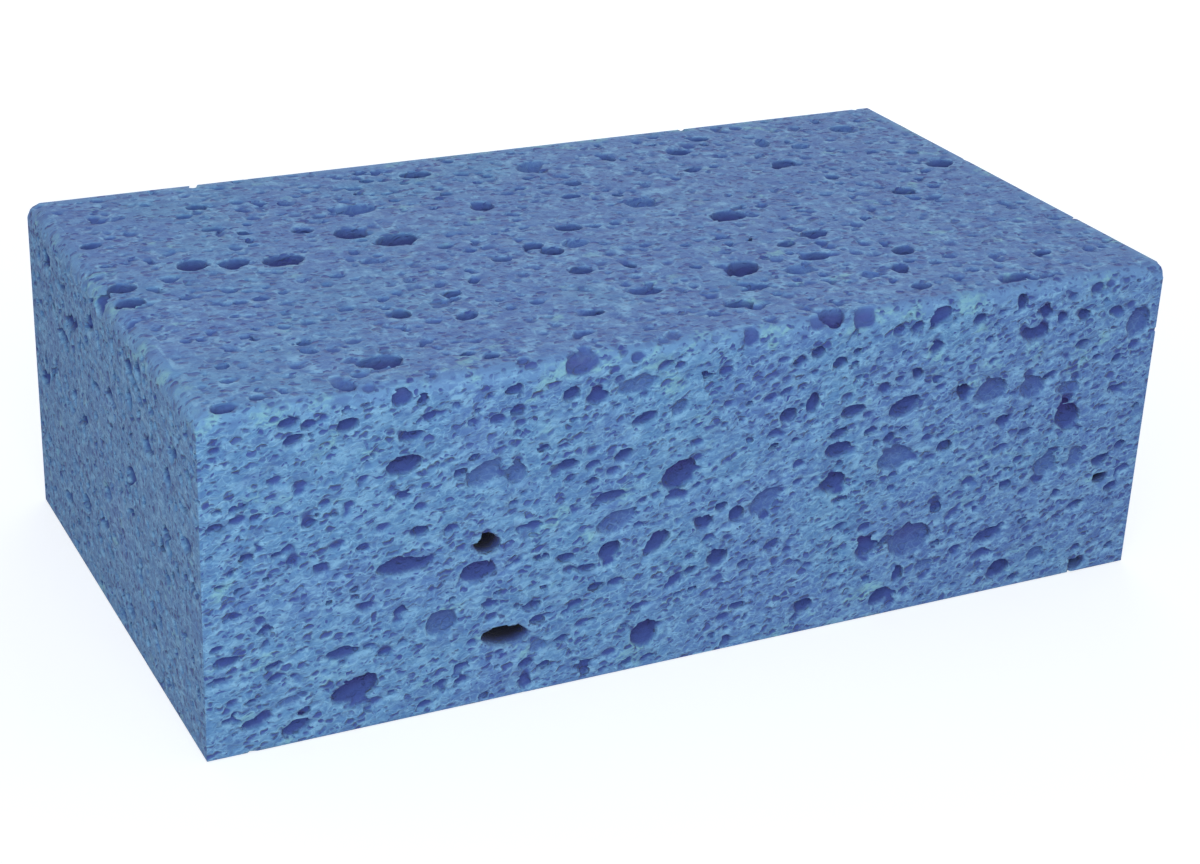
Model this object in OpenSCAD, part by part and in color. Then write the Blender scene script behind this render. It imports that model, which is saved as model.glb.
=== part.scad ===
// Cleaning sponge: one block of cellulose foam, cut square, with open bubbles on every face.
// The origin is under the middle of the block, on the surface that it lies on.

/* [Block] */
// Length of the block, from the left end to the right end
length = 180; // [140:1:220]
// Width of the block, from front to back
width = 100; // [80:1:130]
// Height of the block as it lies
height = 60; // [48:1:80]

/* [Edges] */
// Rounding of the softened upper edges, at the front and at the left end
soft_edge = 3; // [1:0.5:6]
// Rounding of all the other cut edges
cut_edge = 0.5; // [0.25:0.25:2.5]

/* [Pores] */
// Depth of an ordinary pore over its height on the face
pore_depth = 0.9; // [0.4:0.05:1.2]
// Depth of a shallow hollow over its height on the face
hollow_depth = 0.45; // [0.3:0.05:0.8]
// Depth of the few holes that run deep into the foam
deep_hole = 14; // [8:1:20]
// Distance between the middles of pores on the back, the right end and the underside
pore_pitch = 19; // [15:0.5:26]
// Length of the smallest pore on those three faces
small_pore = 3.5; // [2.5:0.5:5]
// Length of the largest pore on those three faces
large_pore = 9; // [6:0.5:11]
// Height of a pore over its length on those three faces
pore_flatness = 0.62; // [0.4:0.02:1]
// Choice of the random layout on those three faces
layout = 7; // [1:1:99]

/* [Hidden] */
sponge_blue = [0.39, 0.60, 0.82];

// Size of the block on which the pores below were read, so that they spread with the faces
read_length = 180;
read_width = 100;
read_height = 60;

// What cuts a pore or rounds a corner starts this far outside the block
rim_out = 0.5;
// The way down a pore: depth as a share of the whole, and width as a share of the mouth
bowl_steps = [[0.35, 1.02], [0.75, 0.78]];
small_bowl_steps = [[0.55, 0.86]];
// Pores shorter than this have the plain bowl
small_below = 4.3;
// Pores from this length on have an outline with more sides
large_from = 5.6;
sides_plain = 6;
sides_large = 8;
// How far a pore's outline wanders from an ellipse
uneven_two = 0.07;
uneven_three = 0.08;
// Tilt of the pores on the patterned faces, and how much it varies
pattern_tilt = 8;
tilt_spread = 14;
// No pore is cut within this distance of the resting face's middle
rest_pad = 12;
// Roundness of the block's edges
$fn = 48;

// Pores on the front, as [from the left, up, length, height, tilt]
front_pores = [
    [4.3, 17, 4, 2, 15], [8, 5, 4.4, 2.4, 5], [15, 2.8, 5, 2.8, 15], [15.2, 53.5, 4, 2.2, 20],
    [24, 54.5, 3.8, 2.8, 15], [25, 7.3, 8, 4.4, 12], [23, 14.6, 6, 2.4, 0], [33.5, 28.2, 9.5, 3.2, 0],
    [33, 57.3, 3.6, 2.6, 10], [34.5, 50.9, 4.6, 2, 5], [33.3, 46, 6, 3.6, 10], [36, 34, 3.8, 2.4, 0],
    [46.3, 24.6, 6.4, 3.8, 5], [62, 41, 4.2, 2.4, 0], [64, 58, 6, 3.2, 12], [66.8, 52.2, 4.4, 2.4, 10],
    [70, 33.8, 5.6, 2.2, 0], [70.2, 23.8, 4.4, 3.4, 20], [62, 24, 3.7, 2.2, 0], [66, 21.3, 4.2, 1.8, 0],
    [75.5, 47, 5, 2.2, 10], [72, 41, 3.8, 2.4, 25], [82.6, 35.6, 6.6, 4.8, 28],
    [79, 23.5, 5.6, 3.2, 38], [77.5, 6.5, 5.2, 4.8, 60], [88, 25.5, 3.6, 3, 0],
    [91, 18.2, 4.2, 3.4, 20], [94.2, 26, 3.8, 2.8, 80], [95.5, 8, 3.8, 1.8, 0], [103, 43, 3.8, 3, 10],
    [107.8, 44.3, 3.8, 2.8, 70], [117, 58, 4.6, 3, 10], [116, 41.6, 4.8, 2.8, 5],
    [113.6, 34.8, 5, 3.6, 0], [113.2, 28.4, 5, 3.8, 15], [109.4, 5, 3.8, 3.4, 0],
    [121.5, 14, 5.2, 2.8, 10], [126.5, 40.8, 6.4, 3.6, 20], [125.3, 3.6, 4.8, 3.6, 30],
    [128.7, 7.4, 3.7, 2.4, 80], [132.4, 56.8, 4.8, 2.6, 10], [135.8, 31.6, 3.7, 2.6, 0],
    [153, 50.5, 5.6, 3, 0], [162.2, 33, 5.6, 4.8, 0], [171.4, 22.6, 4.2, 2.6, 10],
    [147.5, 11.6, 6, 2.8, 10], [151, 4, 4.8, 3.8, 20], [47.4, 11.3, 5.8, 4.8, 10],
];
// Shallow hollows on the front, in the same form
front_hollows = [
    [14, 7.7, 4.6, 2, 10], [40, 16.5, 5.4, 5, 20], [47, 42, 6.6, 4, 25], [52.7, 41, 4, 4.2, 0],
    [57.5, 8.2, 3.6, 2.4, 20], [71, 29, 7, 3.8, 15], [74, 53.3, 7.6, 2.8, 5], [82, 48, 3.8, 2.8, 40],
    [99.5, 27.5, 6.2, 4.2, 40], [125.5, 31, 7, 4.6, 10], [130.5, 14, 9, 6.2, 15],
    [144.8, 40.8, 6.4, 5, 0], [153.6, 40, 5.2, 4.4, 0], [161.8, 38.7, 4.8, 3, 0],
    [158.5, 23.8, 5.2, 4, 15], [165.5, 24, 5, 3, 85], [175.6, 49.5, 5.6, 5, 60], [159, 5.7, 4.2, 3, 15],
    [134.2, 8.2, 4.2, 2.6, 10],
];
// Holes on the front that run deep into the foam, in the same form
front_holes = [
    [48.1, 29.2, 4.4, 3.4, 0], [51.5, 11.7, 8.2, 3.8, -5], [171.8, 19, 3.8, 2.4, 0],
    [169, 1.6, 4, 2.2, 0],
];
// Pores on the top, as [from the left, back from the front, length, width, turn]
top_pores = [
    [49.5, 65.5, 5.8, 5.6, 0], [56, 59.8, 8, 5.4, 20], [34, 57.2, 7.6, 5, 5],
    [18.6, 60.2, 5.4, 4.8, 60], [25.6, 58.6, 5.6, 3.8, 20], [4.6, 54, 5, 4, 0], [4, 47.4, 5, 3.8, 10],
    [118.2, 50.4, 7, 5, 8], [87.5, 54.8, 5, 3.6, 0], [157.2, 51, 5, 3.4, 10], [79.5, 45, 4.4, 3.8, 0],
    [69.6, 44.4, 3.8, 2.6, 0], [80.2, 34.8, 4.6, 3.4, 10], [43.6, 27.2, 4.2, 3.8, 60],
    [107.2, 25.8, 7.6, 5.4, 30], [122.5, 26.4, 6, 3.6, 0], [139.2, 23.4, 5, 3.8, 30],
    [128.6, 36.6, 6, 3, 10], [120.8, 33.6, 4.2, 2.6, 20], [86.5, 22, 6, 3, 0],
    [53.6, 22.6, 4.6, 2.6, 20], [73.6, 16.4, 4.2, 2.8, 0], [105.6, 17.2, 4.2, 2.4, 0],
    [133.8, 16, 4.2, 3.4, 60], [98.4, 11.2, 5.2, 3.2, 0], [33.2, 10.2, 8, 4, 5],
    [132.6, 7.4, 4.2, 2.8, 10], [150.4, 4.8, 7, 3, 15], [28.2, 88, 4.2, 3, 0],
    [77.4, 70.4, 4.8, 3.8, 30], [99, 76.6, 3.8, 2.8, 0], [95.4, 70, 4.2, 2.2, 0],
    [143.6, 73.4, 5.4, 3.6, 15], [72.6, 91.4, 6, 3.6, 0], [127, 86.6, 4.8, 3.6, 0],
    [135, 92.6, 4.2, 3, 0], [173.6, 63, 6, 4, 10], [42, 69.8, 4.2, 3, 0], [162.6, 13.6, 4.2, 2.4, 0],
];
// Shallow hollows on the top, in the same form
top_hollows = [
    [85, 47, 5, 3.6, 25], [116.4, 21.6, 5.8, 3.8, 15], [127, 15, 4.2, 2.6, -10], [55, 77, 8, 4.8, 10],
    [106.2, 62.6, 6, 4.8, 20], [95.2, 88.2, 7, 4.4, 45], [146, 86, 5, 3, 70], [166.6, 88.8, 5, 4, 0],
    [152.4, 81.6, 4, 3, 0],
];
// Pores on the left end, as [from the back, up, length, height, tilt]
left_pores = [
    [28, 47, 6.4, 3, 15], [22, 42.4, 5.8, 2.6, 5], [41.4, 52.2, 4.2, 3, 0], [52.2, 43.4, 4, 3, 0],
    [63, 33.8, 5.2, 2.8, 15], [93.2, 35.2, 4.6, 3, 15], [7.2, 28.2, 4.8, 3, 0], [82.4, 23.8, 3.8, 2.2, 0],
    [48, 23.4, 3.8, 2.4, 0], [32.8, 14.4, 4.8, 3.6, 0], [43.8, 15.4, 3.8, 2.2, 10],
    [19.6, 9.4, 5.2, 2.6, 5], [59.4, 6.2, 4.4, 2.4, 10], [73.8, 43.4, 4.6, 2.8, 0],
    [84.2, 43, 3.8, 3, 0], [64.6, 53.6, 4.2, 3.2, 20], [13.8, 53.8, 4, 2.4, 20],
];

function pore_sides(long) = long < large_from ? sides_plain : sides_large;

function pore_steps(long) = long < small_below ? small_bowl_steps : bowl_steps;

// One ring of a pore's wall: an ellipse whose outline wanders a little, at one height
function pore_ring(long, tall, sides, share, z, wander) = [
    for (i = [0 : sides - 1])
        let (turn = 360 * i / sides)
        let (reach = 1 + uneven_two * cos(2 * turn + wander[0]) + uneven_three * cos(3 * turn + wander[1]))
        [share * reach * long / 2 * cos(turn), share * reach * tall / 2 * sin(turn), z]
];

// The closed cutter of one pore: its mouth lies on the plane z = 0 and its bottom at -depth
module pore(long, tall, depth, seed) {
    sides = pore_sides(long);
    steps = pore_steps(long);
    wander = rands(0, 360, 2, seed);
    mouth = pore_ring(long, tall, sides, 1, rim_out, wander);
    walls = [for (step = steps) pore_ring(long, tall, sides, step[1], -step[0] * depth, wander)];
    points = concat(mouth, [for (ring = walls) each ring], [[0, 0, -depth]]);
    last = len(points) - 1;
    lid = [[for (i = [0 : sides - 1]) sides - 1 - i]];
    bands = [
        for (k = [0 : len(steps) - 1], i = [0 : sides - 1])
            let (a = k * sides + i, b = k * sides + (i + 1) % sides)
            each [[a, b, b + sides], [a, b + sides, a + sides]]
    ];
    floor_fan = [
        for (i = [0 : sides - 1])
            [len(steps) * sides + i, len(steps) * sides + (i + 1) % sides, last]
    ];
    polyhedron(points, concat(lid, bands, floor_fan));
}

// Pores from a list that was read on a face of read_u by read_v, spread over a face of u by v.
// Each is as deep as a share of its height, or as deep as a hole where that is given.
module listed_pores(list, u, v, read_u, read_v, share = pore_depth, hole = 0) {
    for (i = [0 : len(list) - 1]) {
        p = list[i];
        depth = hole > 0 ? hole : share * p[3];
        translate([p[0] * u / read_u, p[1] * v / read_v, 0])
            rotate(p[4])
                pore(p[2], p[3], depth, p[0] * 10 + p[1]);
    }
}

// Pores on a face of u by v, one in each cell of a grid and moved about within it
module pattern_pores(u, v, seed, keep_middle = 0) {
    across = floor(u / pore_pitch);
    up = floor(v / pore_pitch);
    chance = rands(0, 1, across * up * 4, seed);
    for (i = [0 : across - 1], j = [0 : up - 1]) {
        c = 4 * (i * up + j);
        long = small_pore + (large_pore - small_pore) * pow(chance[c], 2);
        tall = pore_flatness * long;
        slack_u = (u / across - long) / 2;
        slack_v = (v / up - tall) / 2;
        x = (i + 0.5) * u / across + (2 * chance[c + 1] - 1) * slack_u * 0.8;
        y = (j + 0.5) * v / up + (2 * chance[c + 2] - 1) * slack_v * 0.8;
        if (norm([x - u / 2, y - v / 2]) > keep_middle)
            translate([x, y, 0])
                rotate(pattern_tilt + (2 * chance[c + 3] - 1) * tilt_spread)
                    pore(long, tall, pore_depth * tall, seed * 100 + c);
    }
}

// A rectangle of w by h on the x axis, with its lower corners and each upper corner rounded
module rounded_outline(w, h, left_top, right_top, low) {
    difference() {
        translate([-w / 2, 0]) square([w, h]);
        corner_waste([-w / 2, h], left_top, 1, -1);
        corner_waste([w / 2, h], right_top, -1, -1);
        corner_waste([-w / 2, 0], low, 1, 1);
        corner_waste([w / 2, 0], low, -1, 1);
    }
}

// What rounding takes off one corner of an outline: a square without the disc that stays
module corner_waste(at, r, side, rise) {
    translate(at)
        mirror([side < 0 ? 1 : 0, 0])
            mirror([0, rise < 0 ? 1 : 0])
                difference() {
                    translate([-rim_out, -rim_out]) square(r + rim_out);
                    translate([r, r]) circle(r);
                }
}

// The block before its pores are opened: three rounded outlines, one along each axis
module block() {
    intersection() {
        rotate([90, 0, 90])
            translate([0, 0, -length / 2])
                linear_extrude(length)
                    rounded_outline(width, height, soft_edge, cut_edge, cut_edge);
        rotate([90, 0, 0])
            translate([0, 0, -width / 2])
                linear_extrude(width)
                    rounded_outline(length, height, soft_edge, cut_edge, cut_edge);
        translate([0, -width / 2, 0])
            linear_extrude(height)
                rounded_outline(length, width, cut_edge, cut_edge, cut_edge);
    }
}

module front_face() translate([-length / 2, -width / 2, 0]) rotate([90, 0, 0]) children();
module back_face() translate([length / 2, width / 2, 0]) rotate([90, 0, 180]) children();
module left_face() translate([-length / 2, width / 2, 0]) rotate([90, 0, -90]) children();
module right_face() translate([length / 2, -width / 2, 0]) rotate([90, 0, 90]) children();
module top_face() translate([-length / 2, -width / 2, height]) children();
module under_face() translate([-length / 2, width / 2, 0]) rotate([180, 0, 0]) children();

module sponge_block() {
    color(sponge_blue)
        difference() {
            block();
            front_face() listed_pores(front_pores, length, height, read_length, read_height);
            front_face() listed_pores(front_hollows, length, height, read_length, read_height, hollow_depth);
            front_face()
                listed_pores(front_holes, length, height, read_length, read_height, hole = deep_hole);
            top_face() listed_pores(top_pores, length, width, read_length, read_width);
            top_face() listed_pores(top_hollows, length, width, read_length, read_width, hollow_depth);
            left_face() listed_pores(left_pores, width, height, read_width, read_height);
            back_face() pattern_pores(length, height, layout);
            right_face() pattern_pores(width, height, layout + 1);
            under_face() pattern_pores(length, width, layout + 2, rest_pad);
        }
}

sponge_block();
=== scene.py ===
"""A blue cellulose sponge: an open-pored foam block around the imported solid, and a plain studio."""

import math
from collections import namedtuple

import bmesh
import bpy
import numpy as np
from bpy.props import FloatProperty, FloatVectorProperty, IntProperty, PointerProperty
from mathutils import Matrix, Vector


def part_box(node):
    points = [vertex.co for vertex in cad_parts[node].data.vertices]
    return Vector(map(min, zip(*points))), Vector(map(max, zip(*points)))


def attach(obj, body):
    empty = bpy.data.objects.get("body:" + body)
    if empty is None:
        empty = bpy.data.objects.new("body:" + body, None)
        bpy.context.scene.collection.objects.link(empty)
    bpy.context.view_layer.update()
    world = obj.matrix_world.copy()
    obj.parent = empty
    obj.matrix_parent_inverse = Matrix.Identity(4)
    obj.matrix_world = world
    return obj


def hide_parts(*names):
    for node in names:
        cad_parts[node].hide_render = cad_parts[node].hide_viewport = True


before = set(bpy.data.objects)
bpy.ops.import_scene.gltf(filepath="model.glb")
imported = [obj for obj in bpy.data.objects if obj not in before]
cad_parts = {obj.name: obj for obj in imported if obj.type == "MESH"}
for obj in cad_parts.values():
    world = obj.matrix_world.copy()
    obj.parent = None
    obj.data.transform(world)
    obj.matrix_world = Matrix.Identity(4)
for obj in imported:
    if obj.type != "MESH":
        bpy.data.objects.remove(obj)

bl_info = {
    "name": "Cleaning Sponge",
    "version": (1, 0, 0),
    "blender": (4, 5, 0),
    "location": "3D View > Sidebar > Sponge",
    "description": "Builds an open-pored cellulose sponge around its solid, with a plain studio",
    "category": "Object",
}

SOLID = "sponge_block"
BLOCK_LOW, BLOCK_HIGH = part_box(SOLID)
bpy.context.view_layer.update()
MM = 0.001
MILLIMETRES = 1 / MM
SENSOR_WIDTH = 36.0
TRIANGLE_LIMIT = 196000

# What the foam's mesh carries at its points for the material
# The first is a point's depth below the skin, scaled for painted shade
SHADED_DEPTH_NAME = "pore_depth"
HOLE_NAME = "hole_depth"
EDGE_NAME = "pore_edge"
HOLLOW_NAME = "in_hollow"
FLAT_NAME = "on_flat_face"

# Distance around the block that the grid covers, and the grid steps over which its density falls
GRID_MARGIN = 1.5 * MM
FALL_STEPS = 4.0
# Rounding where a pore's wall meets a face or another pore
ROUNDING = 0.2 * MM
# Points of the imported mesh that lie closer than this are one
SAME_POINT = 0.001 * MM
# Faces that meet at a larger angle than this keep a crisp line
CRISP_ANGLE = math.radians(50)

# A pore's wall, from its mouth to its bottom, follows a rounded bowl of this power
BOWL_POWER = 2.5
# The points next to a pore's tip are level with each other within the first, and further above it
# than the second. Their middle is off the tip by no more than the third, or than this share of how
# far they lie above it.
FLAT_TO = 0.02 * MM
LEAST_STEP = 0.15 * MM
LEAST_OFF = 2 * LEAST_STEP
OFF_SHARE = 0.5
Pore = namedtuple("Pore", "mouth half_length half_height depth turn axes")
# Deeper pores than the first are holes, and those less deep than this share of half their height
# are hollows
HOLE_DEPTH = 8 * MM
HOLLOW_SHARE = 1.4
# Half the length past which any other pore is large, or middling
LARGE_PORE = 2.7 * MM
MIDDLE_PORE = 1.75 * MM
# Pores are kept in groups of like size, so that the nearest middle is the right one.
# Each group takes the pores that pass its test and that no group before it took.
HOLE_GROUP = "Deep Holes"
HOLLOW_GROUP = "Shallow Hollows"
PORE_GROUPS = (
    (HOLE_GROUP, lambda pore: pore.depth > HOLE_DEPTH),
    (HOLLOW_GROUP, lambda pore: pore.depth < HOLLOW_SHARE * pore.half_height),
    ("Large Pores", lambda pore: pore.half_length > LARGE_PORE),
    ("Middle Pores", lambda pore: pore.half_length > MIDDLE_PORE),
    ("Small Pores", lambda pore: True),
)
AXIS_NAMES = ("pore_along", "pore_up", "pore_in")
SCALE_NAME = "pore_scale"

# Two sizes of random bubbles: the input that spaces them, their radii as shares of that, the share
# of them that is there, and a shift in metres that keeps the two layouts apart
BubbleSize = namedtuple("BubbleSize", "spacing radii share shift")
BUBBLE_SIZES = (
    BubbleSize("Large Bubble Spacing", (0.14, 0.46), 0.92, 0.0),
    BubbleSize("Small Bubble Spacing", (0.17, 0.44), 0.95, 1.19),
)
# The bubbles' outlines wander by up to half the reach each way over the first length, and the rims
# of the listed pores over the second, as far as Ragged Rims says
WOBBLE_REACH = 1.2 * MM
WOBBLE_LENGTH = 2.2 * MM
RIM_LENGTH = 2.8 * MM
# Each step of the seed moves both layouts by this much, in metres
SEED_SHIFT = 0.37
# Most bubbles are near the smaller radius, by this power
SMALLER_POWER = 1.5
# The real distance from a stretched bubble is about this share of the one in its own measure
STRETCHED_SHARE = 0.75
# Bubbles stay away whose middle lies deeper than the first share of their radius, or nearer to an
# edge of the block than the second
BURIED_SHARE = 0.7
EDGE_SHARE = 1.2

# Inputs that the tree of the foam and the tree of its depths have in common
FOAM_INPUTS = (
    ("Large Bubble Spacing", "NodeSocketFloat"),
    ("Small Bubble Spacing", "NodeSocketFloat"),
    ("Bubble Stretch", "NodeSocketVector"),
    ("Bubble Tilt", "NodeSocketFloat"),
    ("Ragged Rims", "NodeSocketFloat"),
    *((group[0], "NodeSocketObject") for group in PORE_GROUPS),
    ("Seed", "NodeSocketFloat"),
)

# Distance between the cells that the threads run around, in millimetres, and a thread's width
# as a share of it
NET_CELL = 1.7
NET_WIDTH = 0.16
# Cells of the threads and pits along the block's length, width and height, over their length
GRAIN_STRETCH = (1.0, 0.6, 0.52)
# How far streaks and worn patches are drawn out along the same three ways
STREAK_STRETCH = (4.0, 3.0, 1.0)
WORN_STRETCH = (1.6, 1.2, 1.0)
# How close the streaks lie, for each millimetre, and how far apart the worn patches and the violet
# ones lie, in millimetres
STREAK_SCALE = 1.2
WORN_LENGTH = 5.0
PATCH_LENGTH = 17.0

# Pits that only the material has: the distance between them in millimetres, their radii and their
# soft edge as shares of it, the share of them that stays nearly closed, their depth in millimetres,
# and a shift that keeps the layers apart. The middle layer fills the cells of the net.
# The pits' colour is painted shade
PitLayer = namedtuple("PitLayer", "cell smallest largest soft closed drop shift")
PIT_LAYERS = (
    PitLayer(2.7, 0.14, 0.46, 0.11, 0.15, 0.3, (3.1, 5.2, 1.7)),
    PitLayer(NET_CELL, 0.16, 0.56, 0.16, 0.3, 0.2, (0.0, 0.0, 0.0)),
    PitLayer(0.85, 0.14, 0.5, 0.22, 0.55, 0.04, (3.7, 8.3, 2.2)),
)
# Broad pans of painted shade, softer than the pits and in the colour alone
PAN_LAYER = PitLayer(4.4, 0.12, 0.5, 0.22, 0.1, 0.0, (5.9, 2.6, 9.1))
PAN_SHARE = 0.52
# Painted shade: pits are darkest along their upper rim, where the wall faces down, and on the top
# along their back rim: the way there, how far along it a pit darkens, and from which share to which
SHADE_SIDE = (0.0, 0.5, 0.8)
SHADE_SPAN = (-0.3, 0.25)
SHADE_SHARES = (0.65, 1.15)
# Pits past this chance are fully open, and the closed ones keep a trace
OPEN_CHANCE = 0.9
CLOSED_TRACE = 0.1
# The threads rise towards the right end by this much
GRAIN_TURN = math.radians(14)

# Ranges in millimetres over which the foam changes from its face to a pore: out from the pore's
# rim, where inside is below zero, and down from the face
# The first five bring in a pore's painted shade, and the next two the painted highlight along its rim
RIM_TO_WALL = (0.2, -0.35)
RIM_WALL_DEPTH = (0.05, 0.75)
WALL_DEPTH = (0.2, 0.95)
FLOOR_DEPTH = (0.9, 3.4)
DARK_DEPTH = (0.7, 3.6)
PALE_RIM = (0.65, 0.2)
PALE_RIM_DEPTH = (0.5, 0.1)
PIT_FADE = (-0.4, 0.2)
# Distance from an upper edge over which the wear and the painted highlight come in, in millimetres
EDGE_BAND = (5.0, 0.5)
# A place counts as in a hole up to the first outside it, and in a hollow up to the second
HOLE_REACH = 0.5 * MM
HOLLOW_REACH = 0.6 * MM
# Painted shade: how much deeper the pores of the flat faces and the walls that face down look, and
# how much shallower the walls that face up
PAINTED_SHADE_GAIN = 0.6
# Painted shade: how much the violet grows with each millimetre to the right, and on the flat faces
RIGHT_LEAN = 0.002
FLAT_LEAN = 0.15
# Height of the relief that the streaks give, in millimetres
STREAK_HEIGHT = 0.4
# Ranges of noise over which a streak, a violet patch and a worn patch come in
STREAK_NOISE = (0.36, 0.64)
PATCH_NOISE = (0.35, 0.65)
WORN_NOISE = (0.62, 0.74)
# How much nearer to worn the upper edges are, in the same noise
EDGE_WEAR = 0.14
# Most of each pale colour that shows: threads and the painted highlight along rims, those between
# the streaks, streaks alone, the painted highlight along the upper edges, and worn patches
THREAD_SHARE = 0.8
BETWEEN_STREAKS = 0.2
STREAK_SHARE = 0.3
EDGE_HIGHLIGHT = 0.35
WORN_SHARE = 0.75
# Most of the pores' violet painted shade that shows, how much less of it shows in shallow hollows
# and on the flat faces, and the power by which the pores' floors follow that
PORE_SHARE = 0.97
HOLLOW_LOSS = 0.3
FLAT_LOSS = 0.32
FLOOR_POWER = 1.5
# How much weaker the threads, the finest pits and the relief are on the flat faces
CALM_LOSS = 0.4
# How much of the pits shows inside a larger pore and outside it
PIT_SHARES = (0.2, 0.9)
# The threads wander by up to half of this each way over the same length, in millimetres
THREAD_WANDER = 1.5

# The foam is nearly matte, with a faint sheen
FOAM_SURFACE = {
    "Roughness": 0.92,
    "Specular IOR Level": 0.25,
    "Sheen Weight": 0.12,
    "Sheen Roughness": 0.5,
}

# Half the floor's width, and the nearest that the camera sees, in metres
FLOOR_REACH = 4.0
NEAREST_SEEN = 0.01
FLOOR_ROUGHNESS = 0.9
# The floor's own light, which the camera sees and the block doesn't, so that the floor shows white
FLOOR_GLOW = 0.66
# Width in metres and colour of both lamps, and where each stands
LAMP_SIZE = 0.45
LAMP_COLOUR = (0.84, 1.0, 0.98)
KEY_PLACE = (-0.2, -0.45, 0.27)
FILL_PLACE = (0.25, 0.5, 0.12)

# Small pores read from the photograph, between the larger ones that the solid has.
# Each is given in millimetres: its middle along and up the face, its length and its height.
# Along starts at the left end, or at the back on the left end itself, and up at the lower edge, or
# at the front edge on the top.
FRONT_PORES = (
    (19.5, 31, 2.8, 1.6), (27, 22.3, 2.4, 1.7), (33.5, 40.5, 2.6, 1.6), (116, 52.7, 1.9, 1.8),
    (122.3, 44.6, 1.9, 1.8), (128.8, 46.4, 2, 2.6), (153.2, 31.5, 3.6, 1.6), (175.5, 25, 2.6, 2),
    (162, 17.3, 2.3, 1.6), (154.5, 1.5, 2.6, 1.6), (115.5, 19.6, 3, 1.6), (12.3, 34.3, 2.2, 1.6),
    (43, 43, 2.5, 1.8), (36.5, 56.5, 2.2, 2), (14.5, 56.3, 3.5, 2), (2, 14, 3.5, 1.6),
    (3.8, 6.5, 2.6, 1.5), (55, 2.3, 2.6, 1.7), (62, 53.5, 3, 2.5), (82, 31.8, 4, 1.7),
    (91.2, 28, 2.6, 2.2), (86, 17, 3, 1.7), (82.5, 15, 3.4, 1.7), (108, 53.7, 2.8, 2.4),
    (112.5, 51, 3.2, 2.2), (108, 58.8, 4, 2.4), (95, 58, 3, 2.4), (113.5, 37.7, 4, 2),
    (124, 35, 2.6, 2), (132, 51, 3, 2.2), (140.5, 55, 3, 2.2), (138.8, 41.5, 2.2, 4),
    (148, 34.5, 3, 2.4), (174.5, 16.5, 3, 2.2), (163.5, 47, 3, 2), (147, 8, 3.2, 1.7),
    (155, 54, 2.2, 2.6), (158.5, 52.5, 2.3, 2), (163.3, 52.5, 2.6, 2.4), (165.5, 57, 3, 2),
    (149.3, 56.8, 2, 3), (96.3, 16, 2.6, 1.8), (55.5, 31.2, 3.4, 1.5), (56.5, 16.3, 2.8, 1.8),
    (104.5, 52.5, 3, 1.7),
)
TOP_PORES = (
    (61, 37, 2.4, 2), (89.3, 34, 2, 3.4), (77.5, 48.5, 4, 3), (25, 3.2, 3, 2.6), (11, 4, 3, 2),
    (5, 2.6, 4, 2.6), (50.5, 6, 2.8, 2.4), (68, 9, 4, 1.8), (111, 2, 5, 4), (112, 88, 2.2, 4),
    (148.5, 62.8, 3, 2.6), (27, 76, 3.6, 2), (124.5, 76, 3.6, 2.6), (55, 32.5, 3.6, 2.6),
    (5, 75, 4, 2.6),
)
LEFT_PORES = (
    (54, 2.5, 4.4, 2.4), (70, 55, 3, 3.4), (64, 48, 3.6, 2.6), (47.5, 57.5, 5, 3), (44, 41.5, 4, 1.8),
    (82, 32, 3, 2.4),
)


class SpongeShape(bpy.types.PropertyGroup):
    """Sizes of the foam's bubbles and of the grid that its surface is drawn from."""

    grid_step: FloatProperty(
        name="Grid Step",
        description="Distance between the points at which the foam is worked out",
        default=0.55 * MM,
        unit="LENGTH",
    )
    quick_step: FloatProperty(
        name="Quick Grid Step",
        description="The same distance while trying things out",
        default=1.0 * MM,
        unit="LENGTH",
    )
    stretch: FloatVectorProperty(
        name="Bubble Stretch",
        description="Size of a bubble along the block's length, width and height, over its length",
        default=(1.0, 0.68, 0.58),
    )
    tilt: FloatProperty(
        name="Bubble Tilt",
        description="How far the bubbles rise towards the right end",
        default=math.radians(12),
        subtype="ANGLE",
    )
    large_cell: FloatProperty(
        name="Large Bubble Spacing",
        description="Distance between the middles of the larger random bubbles",
        default=3.7 * MM,
        unit="LENGTH",
    )
    small_cell: FloatProperty(
        name="Small Bubble Spacing",
        description="Distance between the middles of the smaller random bubbles",
        default=2.6 * MM,
        unit="LENGTH",
    )
    ragged: FloatProperty(
        name="Ragged Rims",
        description="How far a pore's outline wanders",
        default=0.6 * MM,
        unit="LENGTH",
    )
    small_pore_depth: FloatProperty(
        name="Small Pore Depth",
        description="Depth of the small pores that were read from the photograph, over their height",
        default=0.95,
    )
    lean: FloatVectorProperty(
        name="Pore Lean",
        description="How far a pore leans right, back and up for each unit of its depth",
        default=(0.14, 0.15, 0.45),
    )
    seed: IntProperty(
        name="Bubble Layout",
        description="Choice of the random layout of the bubbles",
        default=3,
    )


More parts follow.
